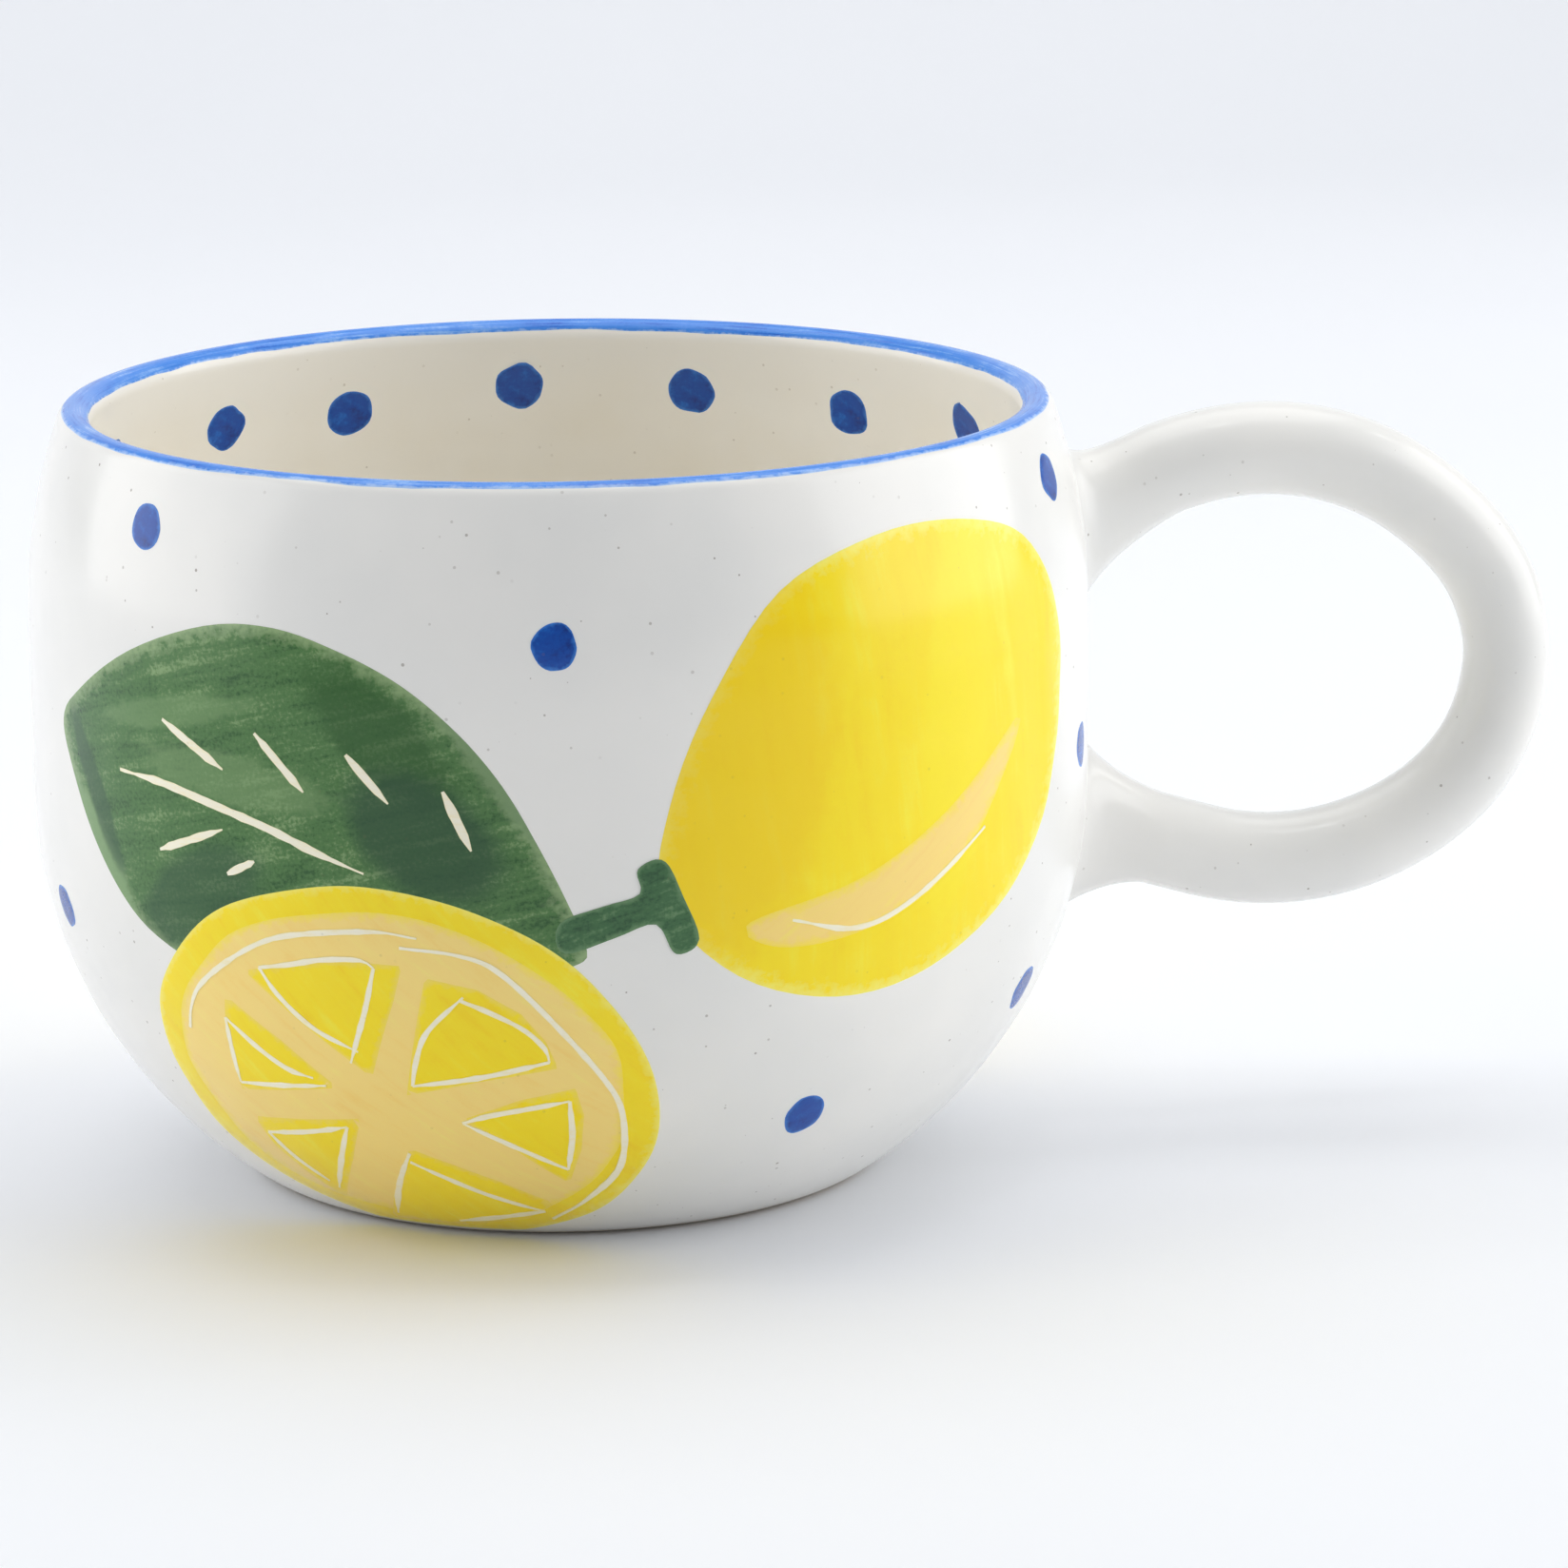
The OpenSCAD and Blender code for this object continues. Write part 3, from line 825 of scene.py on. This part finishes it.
def brushStroke(name, points, width, middle, lift, taper=(0.5, 0.5), seed=0):
    # A narrow strip along a line, thinned at both ends
    count = max(6, int(np.linalg.norm(np.diff(np.array(points), axis=0), axis=1).sum() / 0.7))
    line = openCurve(points, count + 1)
    ahead = np.gradient(line, axis=0)
    ahead /= np.linalg.norm(ahead, axis=1)[:, None]
    aside = np.column_stack([-ahead[:, 1], ahead[:, 0]])
    piece = startGrid(name, count, 2)
    co = places(piece)
    u = np.rint((co[:, 0] + 0.5) * count).astype(int)
    share = u / count
    half = width / 2 * np.clip(share / 0.18, taper[0], 1) * np.clip((1 - share) / 0.18, taper[1], 1)
    half *= [1 + 0.35 * noise.noise(Vector((s * count * 0.5, seed * 5.1, 0))) for s in share]
    across = co[:, 1] * 2
    plan = line[u] + aside[u] * (across * half)[:, None]
    inset = (1 - np.abs(across)) * half
    addPlan(piece, plan, inset)
    wrapPlan(piece, plan, inset + pattern["edgeSlope"], middle, lift)
    thicken(piece)
    return piece


def everyGroup(angle):
    return [pattern["front"] + angle + turn for turn in pattern["groups"]]


def paintMotif(name, outline, angle, lift, material, slotName, nodes=(), cell=0.6):
    pieces = [paintPatch(name, outline, middle, lift, cell) for middle in everyGroup(angle)]
    piece = joinPieces(name, pieces)
    finishPiece(piece, material, slotName, *nodes)


def paintStrokes(name, strokes, width, angle, lift, material, slotName, taper=(0.5, 0.5)):
    pieces = []
    for middle in everyGroup(angle):
        for seed, points in enumerate(strokes):
            pieces.append(brushStroke(name, points, width, middle, lift, taper, seed))
    piece = joinPieces(name, pieces)
    finishPiece(piece, material, slotName)


# The lemon, in millimetres round the cup and up it
lemon = {
    "outline": [(25.5, 51), (24.5, 60), (19, 67.3), (9, 70.4), (-2, 70.4), (-13, 66.5), (-20, 57.5),
                (-24, 47), (-24.5, 38), (-17.5, 30.3), (-7, 26.8), (4, 27.8), (15, 33), (22.5, 41)],
    "highlight": [(-17, 35.5), (-5, 38.5), (6, 43.5), (17, 50.5), (11, 41.5), (3, 35.8), (-6, 33),
                  (-14, 32.8)],
    "scratch": [[(-12.7, 35.3), (-5.8, 33.6), (0.9, 35.3), (10.8, 40.6)]],
}
lemonPaintAndReflection = makePaint("lemonPaintAndReflection", {
    "Light": (255, 240, 60), "Middle": (255, 228, 14), "Dark": (252, 216, 6),
    "Thin": (255, 243, 110), "Turn": 1.45, "Length": 22.0, "Width": 2.6, "Contrast": 1.5,
    "Grain": 0.12, "Edge": 1.5},
    washes=[patch((250, 208, 4), (-17.0, 50.0), (9.0, 20.0), 0.2, 0.55, 0.5),
            # painted reflection: this lighter upright band right of the lemon's middle stands in
            # for a softbox reflected in the glaze
            patch((255, 236, 30), (7.0, 52.0), (5.0, 22.0), 0.1, 0.6, 0.6)])
paintMotif("lemon_paint", closedCurve(lemon["outline"]), pattern["lemon"],
           lifts["paint"], lemonPaintAndReflection, "yellow_paint", ["lemon"])
peachPaint = makePaint("peachPaint", {
    "Light": (255, 232, 112), "Middle": (255, 222, 128), "Dark": (252, 212, 122),
    "Thin": (255, 228, 70), "Turn": -0.6, "Length": 12.0, "Width": 1.0, "Contrast": 1.6,
    "Grain": 0.15, "Edge": 0.9})
paintMotif("lemon_shine", closedCurve(lemon["highlight"]), pattern["lemon"],
           lifts["over"], peachPaint, "peach_paint", ["lemon_highlight"])
scratchGlaze = makePaint("scratchGlaze", {
    "Light": (253, 249, 232), "Middle": (252, 246, 222), "Dark": (250, 238, 196),
    "Thin": (250, 240, 190), "Length": 3.0, "Width": 0.5, "Contrast": 2.0, "Grain": 0.3,
    "Edge": 0.12})
paintStrokes("lemon_scratch", lemon["scratch"], 0.55, pattern["lemon"], lifts["scratch"],
             scratchGlaze, "cream_glaze")

# The leaf and the stem
leaf = {
    "outline": [(-29.6, 50.3), (-26.2, 53.6), (-17.5, 59), (-7.4, 62.7), (0.4, 63.3), (7.4, 61.6),
                (13.5, 58.7), (18.4, 54.5), (22.2, 49.5), (25.2, 43.5), (27.5, 37.9), (28.6, 34),
                (27.6, 32.4), (22, 31), (8, 30), (-6, 29), (-15, 31.4), (-20.8, 35.6),
                (-25.4, 41.2), (-28.3, 46)],
    "stem": [(-5.6, 33.6), (-0.8, 35), (3, 36.1), (4.8, 33.1), (7.1, 34.3), (5.6, 38.6),
             (3.8, 42.2), (1.3, 41.4), (1.5, 39.1), (-2.1, 38), (-6, 36.5)],
    # each vein as angles from the front's middle and heights
    "veins": [[(-52.6, 47.2), (-44.4, 46.8), (-32.9, 44.6), (-26.1, 42.5), (-20.6, 40.8)],
              [(-45.3, 53.1), (-36.9, 49.3)], [(-32.8, 53.2), (-27.1, 48.1)],
              [(-22.3, 52), (-17.8, 47.6)], [(-12.1, 49), (-9.3, 43.4)],
              [(-46.2, 40.4), (-37.2, 43.5)], [(-36.7, 39.3), (-33.2, 40.9)]],
}
leafPaint = makePaint("leafPaint", {
    "Light": (126, 158, 104), "Middle": (74, 118, 62), "Dark": (36, 84, 36),
    "Thin": (146, 172, 122), "Turn": -0.25, "Length": 15.0, "Width": 1.5, "Contrast": 2.0,
    "Grain": 0.95, "Edge": 1.5},
    washes=[patch((118, 148, 102), (23.4, 50.6), (3.0, 16.0), -0.6, 0.85, 0.5),
            patch((124, 158, 106), (-23.2, 39.0), (2.2, 8.0), -0.7, 0.9, 0.45),
            patch((112, 148, 94), (-12.0, 54.0), (10.0, 1.6), -0.2, 0.65, 0.8),
            patch((118, 152, 98), (-5.0, 48.5), (12.0, 2.6), 0.1, 0.55, 0.9),
            patch((34, 86, 28), (11.0, 54.0), (9.0, 4.0), 0.75, 0.7, 0.7),
            patch((36, 78, 46), (15.0, 44.5), (8.5, 5.5), 0.65, 0.8, 0.35),
            patch((42, 84, 50), (-9.0, 36.5), (9.0, 4.5), -0.5, 0.7, 0.4),
            patch((46, 88, 52), (-23.6, 44.5), (1.5, 9.0), -0.5, 0.75, 0.4)])
paintMotif("leaf_paint", closedCurve(leaf["outline"]), pattern["leaf"], lifts["paint"],
           leafPaint, "green_paint", ["leaf"])
stemPaint = makePaint("stemPaint", {
    "Light": (98, 136, 92), "Middle": (58, 104, 62), "Dark": (34, 76, 44),
    "Thin": (104, 142, 98), "Turn": -0.3, "Length": 4.0, "Width": 0.8, "Contrast": 2.2,
    "Grain": 0.8, "Edge": 0.5})
paintMotif("stem_paint", closedCurve(leaf["stem"], 4), pattern["stem"], lifts["scratch"],
           stemPaint, "green_paint", ["lemon_stem"], cell=0.45)


def planOfAngles(points, middle):
    return [(wallAt(z, 0)[0] * math.sin(math.radians(turn - middle)), z) for turn, z in points]


veins = [planOfAngles(points, pattern["leaf"]) for points in leaf["veins"]]
paintStrokes("leaf_veins", veins, 0.8, pattern["leaf"], lifts["vein"], scratchGlaze,
             "cream_glaze", (0.4, 0.25))

# The slice: rind, pith and six wedges, with the scratched lines drawn round them
slicePaint = {
    "centre": (0.6, 19.75), "radius": 25.0, "squash": 0.79, "rind": 2.8, "foot": 0.9,
    "wedges": [
        [(-12.2, 29.9), (-7.1, 31.3), (-0.8, 32.2), (4.6, 32.1), (3.4, 28.4), (-0.1, 20.1)],
        [(6.7, 31), (11.5, 30), (15.2, 27.6), (17, 24.8), (17.7, 21.8), (10.5, 20.3), (3, 18.4),
         (5, 25)],
        [(-14.9, 27), (-15.5, 23.8), (-15.7, 20.6), (-15.6, 16.4), (-9.8, 17.4), (-4, 18.5),
         (-9.3, 23.1)],
        [(7.7, 15.9), (13.6, 18.3), (18.8, 19.6), (18.9, 16.5), (17.7, 12.5), (15.3, 8.1),
         (11.8, 12.4)],
        [(-15.4, 13.2), (-9, 14.1), (-2.6, 15.1), (-5.1, 10), (-9.1, 3.6), (-12.2, 6.8),
         (-14.4, 9.7)],
        [(1.5, 12), (5.5, 10.2), (9.2, 8.2), (13, 5.3), (9.4, 3), (2.4, 1.6), (-5.1, 1.6)]],
    "scratches": [
        [(-10.4, 30.5), (-7.1, 31.2), (-3.4, 32.1), (0.5, 32.4), (1.8, 31.7)],
        [(1.8, 31.7), (0.3, 26.9), (-2, 21.5)],
        [(-10.4, 30.5), (-8.7, 28), (-5.3, 24.9), (-1, 22.8)],
        [(9.7, 28.9), (12.4, 27.7), (15.2, 26), (16.8, 24), (17, 22.5)],
        [(17, 22.5), (10.6, 20.8), (3.8, 19.5)],
        [(3.8, 19.5), (4.7, 22.3), (6.3, 25.5), (10.1, 29.2)],
        [(-15.3, 24.5), (-15.4, 21.6), (-15.4, 17.3)], [(-15.4, 17.3), (-10.2, 17.9), (-5.3, 18.6)],
        [(-15.3, 24.5), (-12, 21.7), (-9.1, 19.9), (-6.5, 19.3)],
        [(7.7, 15.5), (10.5, 16.5), (15.3, 17.6), (18, 18.2)],
        [(18, 18.2), (17.3, 14.1), (15.8, 10)],
        [(15.8, 10), (12.2, 12.6), (7.7, 15.5)], [(-14.3, 11.5), (-9.1, 12.6), (-4.4, 13.9)],
        [(-4.4, 13.9), (-6.5, 9.8), (-9, 5.2)], [(-14.3, 11.5), (-12.3, 8.6), (-9.7, 6)],
        [(1.3, 11.4), (-1.3, 7.3), (-3.9, 2.5)], [(1, 10.3), (4.1, 8.4), (7.3, 6.4), (11.5, 4.2)],
        [(11.5, 4.2), (7.5, 3.3), (2.4, 2.2)]],
    "oval": [[(-20.3, 22.4), (-19.5, 24.8), (-17.9, 27.4), (-14.3, 30.4), (-9.6, 33.2), (-5, 34.5),
              (2, 35.3), (6.2, 34.9)],
             [(4.5, 33.9), (9.9, 33.4), (13.6, 31.8), (17.9, 26.7), (21.3, 20.7), (22.1, 16.3),
              (20.3, 10.2), (15.9, 5.8), (11.7, 3)]],
}


def discOutline(radius, ragged=0.0):
    cx, cz = slicePaint["centre"]
    points = []
    for turn in np.radians(np.arange(0, 360, 3)):
        around = Vector((math.cos(turn), math.sin(turn), ragged))
        reach = radius + noise.noise(around * 2.2) * ragged
        points.append((cx + reach * math.cos(turn),
                       max(cz + reach * slicePaint["squash"] * math.sin(turn), slicePaint["foot"])))
    return np.array(points)


slicePaintLook = {
    "Light": (255, 240, 60), "Middle": (255, 228, 20), "Dark": (252, 214, 10),
    "Thin": (255, 241, 110), "Turn": 0.9, "Length": 9.0, "Width": 1.6, "Contrast": 1.7,
    "Grain": 0.15, "Edge": 0.7}
rindPaint = makePaint("rindPaint", slicePaintLook)
paintMotif("slice_rind_paint", discOutline(slicePaint["radius"], 0.5), pattern["slice"],
           lifts["over"], rindPaint, "yellow_paint", ["slice_rind"])
pithPaint = makePaint("pithPaint", {
    "Light": (255, 232, 132), "Middle": (255, 224, 132), "Dark": (253, 214, 118),
    "Thin": (255, 230, 80), "Turn": 0.7, "Length": 8.0, "Width": 1.2, "Contrast": 1.8,
    "Grain": 0.15, "Edge": 0.8})
paintMotif("slice_pith_paint", discOutline(slicePaint["radius"] - slicePaint["rind"], 1.0),
           pattern["slice"], lifts["pith"], pithPaint, "peach_paint", ["slice_pith"])
wedgePaint = makePaint("wedgePaint", dict(slicePaintLook, Thin=(251, 224, 96), Edge=0.6))
wedgePieces = []
for outline in slicePaint["wedges"]:
    for middle in everyGroup(pattern["slice"]):
        wedgePieces.append(paintPatch("wedge", np.array(outline, float), middle, lifts["wedge"],
                                      0.5))
wedgePiece = joinPieces("slice_wedge_paint", wedgePieces)
finishPiece(wedgePiece, wedgePaint, "yellow_paint", "slice_wedges")
paintStrokes("slice_scratches", slicePaint["scratches"] + slicePaint["oval"], 0.55,
             pattern["slice"], lifts["sliceScratch"], scratchGlaze, "cream_glaze", (0.6, 0.4))

# Dots, each a blot of its own shape: angles from the front's middle and heights
dots = {
    "raggedness": 0.16,
    "outside": [(-0.5, 62.5), (-49.5, 70.7), (30, 14), (70, 71.2), (76.5, 43.5), (66.5, 20.8),
                (-69.5, 30.4)],
    "radius": 2.15, "insideRadius": 2.6, "insideCount": 16, "insideDrop": 8.0, "insideTurn": 4.7,
    # the few inside that sit off the row, as (turn, rise)
    "nudges": {5: (0, 1.1), 6: (0, 0.4), 7: (0, 1.5), 8: (0, 2.0), 10: (-3, 0.5)},
}


def blot(radius, seed):
    points = []
    for turn in np.radians(np.arange(0, 360, 15)):
        around = Vector((math.cos(turn), math.sin(turn), seed * 3.7))
        reach = 1 + dots["raggedness"] * noise.noise(around * 1.3)
        points.append(np.array([math.cos(turn), math.sin(turn)]) * radius * reach)
    return np.array(points)


outsideDots = []
for seed, (turn, z) in enumerate(dots["outside"]):
    for side, middle in enumerate(everyGroup(turn)):
        outline = blot(dots["radius"], seed + 20 * side) + np.array([0, z])
        outsideDots.append(paintPatch("dot", outline, middle, lifts["paint"], 0.35))
outsideDots = joinPieces("outside_dots", outsideDots)
finishPiece(outsideDots, bluePaint, "blue_paint", "outer_dots")

insideDots = []
for k in range(dots["insideCount"]):
    turn, rise = dots["nudges"].get(k, (0, 0))
    middle = pattern["front"] + dots["insideTurn"] + k * 360 / dots["insideCount"] + turn
    place = np.array([0, cup["height"] - dots["insideDrop"] + rise])
    outline = blot(dots["insideRadius"], k + 50) + place
    insideDots.append(paintPatch("dot", outline, middle, lifts["paint"], 0.4, inside=True))
insideDots = joinPieces("inside_dots", insideDots)
finishPiece(insideDots, bluePaint, "blue_paint", "inner_dots")
print("painted")

# The studio: a pale sweep, soft boxes and the camera
studio = {
    "floor": 2.4, "bend": 0.5, "wallHeight": 1.6,
    "camera": {"lens": 148.9, "distance": 650, "aimZ": 38, "down": 13.1, "fromHandle": 8,
               "pan": 2.011, "tilt": 0.066, "roll": 0.528},
    "lights": {
        "left": {"place": (-0.95, 0.05, 0.38), "size": (1.1, 0.8), "power": 5.3},
        "right": {"place": (0.93, 0.0, 0.38), "size": (1.0, 0.8), "power": 6.1},
        "over": {"place": (0.0, 0.25, 1.1), "size": (1.3, 1.0), "power": 6.9},
        "leftSpark": {"place": (-0.8, -0.1, 0.75), "size": (0.1, 0.05), "power": 0.15},
        "rightSpark": {"place": (0.75, 0.25, 0.85), "size": (0.08, 0.05), "power": 0.15},
        "overSpark": {"place": (0.15, -0.12, 1.05), "size": (0.09, 0.05), "power": 0.15},
    },
    "world": 0.37, "air": (0.93, 0.96, 1.0, 1.0), "lightAimZ": 0.04,
}


def pickEdges(piece, wanted):
    for edge in piece.data.edges:
        edge.select = all(wanted(piece.data.vertices[i].co) for i in edge.vertices)


def makeSweep():
    clearSelection()
    bpy.ops.mesh.primitive_plane_add(size=studio["floor"], location=(0, 0, 0))
    floor = bpy.context.object
    floor.name = "studio_sweep"
    setMode("EDIT")
    bpy.ops.mesh.select_all(action="DESELECT")
    setMode("OBJECT")
    pickEdges(floor, lambda end: end.y > 0)
    bpy.context.tool_settings.mesh_select_mode = (False, True, False)
    setMode("EDIT")
    bpy.ops.mesh.extrude_region_move(TRANSFORM_OT_translate={"value": (0, 0, studio["wallHeight"])})
    setMode("OBJECT")
    pickEdges(floor, lambda end: end.y > 0 and end.z < mm)
    setMode("EDIT")
    bpy.ops.mesh.bevel(offset=studio["bend"], segments=24, affect="EDGES")
    setMode("OBJECT")
    bpy.context.tool_settings.mesh_select_mode = (True, False, False)
    makeActive(floor)
    bpy.ops.object.shade_smooth()
    turn = Matrix.Rotation(math.radians(-studio["camera"]["fromHandle"]), 4, "Z")
    floor.data.transform(turn)
    material = bpy.data.materials.new("sweepPaper")
    material.use_nodes = True
    add = nodeAdder(material.node_tree)
    shader = material.node_tree.nodes["Principled BSDF"]
    shader.inputs["Roughness"].default_value = 0.65
    shader.inputs["Specular IOR Level"].default_value = 0.2
    place = add("TexCoord").outputs["Object"]
    rise = ramp(add, add("SeparateXYZ", {0: place}).outputs[2], 0.0, 0.25)
    tone = mixColour(add, rise, shade(244, 245, 248), shade(243, 246, 250))
    tone = mixColour(add, grainNode(add, place, 3.0, 2.0), tone, shade(234, 236, 240))
    material.node_tree.links.new(tone, shader.inputs["Base Color"])
    floor.data.materials.append(material)


def makeCamera():
    look = studio["camera"]
    down, pan = math.radians(look["down"]), math.radians(look["pan"])
    dip, roll = down + math.radians(look["tilt"]), math.radians(look["roll"])
    turn = Matrix.Rotation(math.radians(-look["fromHandle"]), 3, "Z")
    far = look["distance"]
    place = Vector((0, -far * math.cos(down), look["aimZ"] + far * math.sin(down)))
    ahead = Vector((math.sin(pan) * math.cos(dip), math.cos(pan) * math.cos(dip), -math.sin(dip)))
    level = Vector((math.cos(pan), -math.sin(pan), 0))
    upright = level.cross(ahead)
    right = level * math.cos(roll) - upright * math.sin(roll)
    up = level * math.sin(roll) + upright * math.cos(roll)
    axes = Matrix((turn @ right, turn @ up, turn @ -ahead)).transposed()
    data = bpy.data.cameras.new("studioCamera")
    data.lens = look["lens"]
    data.sensor_width = 36
    data.clip_start = 0.01
    camera = bpy.data.objects.new("studioCamera", data)
    bpy.context.scene.collection.objects.link(camera)
    camera.matrix_world = Matrix.Translation(turn @ place * mm) @ axes.to_4x4()
    bpy.context.scene.camera = camera


def makeLights():
    turn = Matrix.Rotation(math.radians(-studio["camera"]["fromHandle"]), 3, "Z")
    for name, box in studio["lights"].items():
        data = bpy.data.lights.new(name + "Softbox", "AREA")
        data.shape = "RECTANGLE"
        data.size, data.size_y = box["size"]
        data.energy = box["power"]
        light = bpy.data.objects.new(name + "Softbox", data)
        bpy.context.scene.collection.objects.link(light)
        place = turn @ Vector(box["place"])
        light.location = place
        ahead = Vector((0, 0, studio["lightAimZ"])) - place
        light.rotation_euler = ahead.to_track_quat("-Z", "Y").to_euler()
    world = bpy.data.worlds.new("studioAir")
    world.use_nodes = True
    background = world.node_tree.nodes["Background"]
    background.inputs["Color"].default_value = studio["air"]
    background.inputs["Strength"].default_value = studio["world"]
    bpy.context.scene.world = world


makeSweep()
makeCamera()
makeLights()
bpy.context.scene.view_settings.view_transform = "Standard"
print("studio set")
